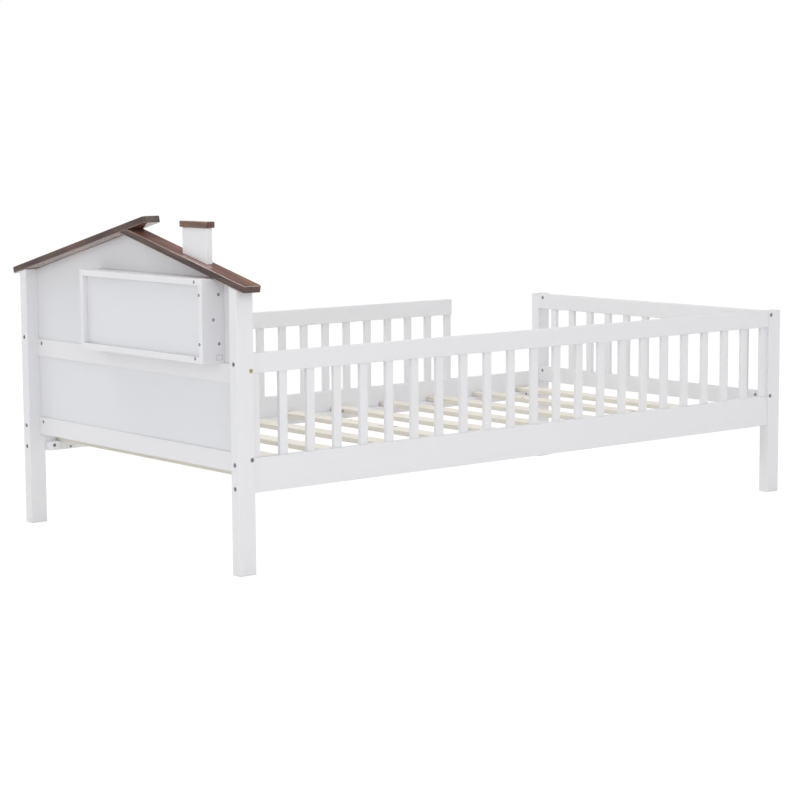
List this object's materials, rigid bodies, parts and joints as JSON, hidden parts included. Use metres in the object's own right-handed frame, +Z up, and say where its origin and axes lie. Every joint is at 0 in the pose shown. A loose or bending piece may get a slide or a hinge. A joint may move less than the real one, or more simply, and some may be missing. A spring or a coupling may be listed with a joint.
{
  "type": "house headboard bed",
  "caption": "Low child's bed with barred guard rails, an entry gap and a gabled house headboard with chimney and storage box",
  "frame": {"origin": "on the floor, under the middle of the bed's bounding box", "axes": "+X from the headboard to the footboard, +Y from the near guard to the far guard with the entry gap, +Z up"},
  "size_m": [2.06, 1.136, 0.8922],
  "materials": {
    "white_paint": "satin white paint on wood and board",
    "brown_lacquer": "semi-gloss dark brown lacquer on wood",
    "bare_pine": "unfinished planed pine",
    "dark_steel": "dark zinc-plated steel",
    "brass": "yellow brass plating"
  },
  "bodies": {
    "root": {"near_head_post": "white_paint", "far_head_post": "white_paint", "head_lower_rail": "white_paint", "head_middle_rail": "white_paint", "lower_panel": "white_paint", "gable_panel": "white_paint", "box_near_side": "white_paint", "box_far_side": "white_paint", "box_bottom": "white_paint", "box_top": "white_paint", "box_shelf": "white_paint", "box_back": "white_paint", "near_foot_post": "white_paint", "far_foot_post": "white_paint", "foot_guard": "white_paint", "foot_lower_rail": "white_paint", "near_guard": "white_paint", "near_side_rail": "white_paint", "near_ledger": "white_paint", "far_guard": "white_paint", "far_side_rail": "white_paint", "far_ledger": "white_paint", "far_roof_plank": "brown_lacquer", "near_roof_plank": "brown_lacquer", "chimney_board": "white_paint", "chimney_cap": "brown_lacquer", "slat_1": "bare_pine", "slat_2": "bare_pine", "slat_3": "bare_pine", "slat_4": "bare_pine", "slat_5": "bare_pine", "slat_6": "bare_pine", "slat_7": "bare_pine", "slat_8": "bare_pine", "slat_9": "bare_pine", "slat_10": "bare_pine", "bolt_near_head_rail_lower": "dark_steel", "bolt_near_head_rail_upper": "dark_steel", "bolt_near_head_guard": "dark_steel", "bolt_near_head_middle_cross": "brass", "bolt_near_head_lower_cross": "dark_steel", "bolt_far_head_rail_lower": "dark_steel", "bolt_far_head_rail_upper": "dark_steel", "bolt_far_head_guard": "dark_steel", "bolt_far_head_middle_cross": "dark_steel", "bolt_far_head_lower_cross": "dark_steel", "bolt_near_foot_rail_lower": "dark_steel", "bolt_near_foot_rail_upper": "dark_steel", "bolt_near_foot_guard": "dark_steel", "bolt_near_foot_top_cross": "dark_steel", "bolt_near_foot_lower_cross": "dark_steel", "bolt_far_foot_rail_lower": "dark_steel", "bolt_far_foot_rail_upper": "dark_steel", "bolt_far_foot_top_cross": "dark_steel", "bolt_far_foot_lower_cross": "dark_steel"}
  },
  "joints": []
}
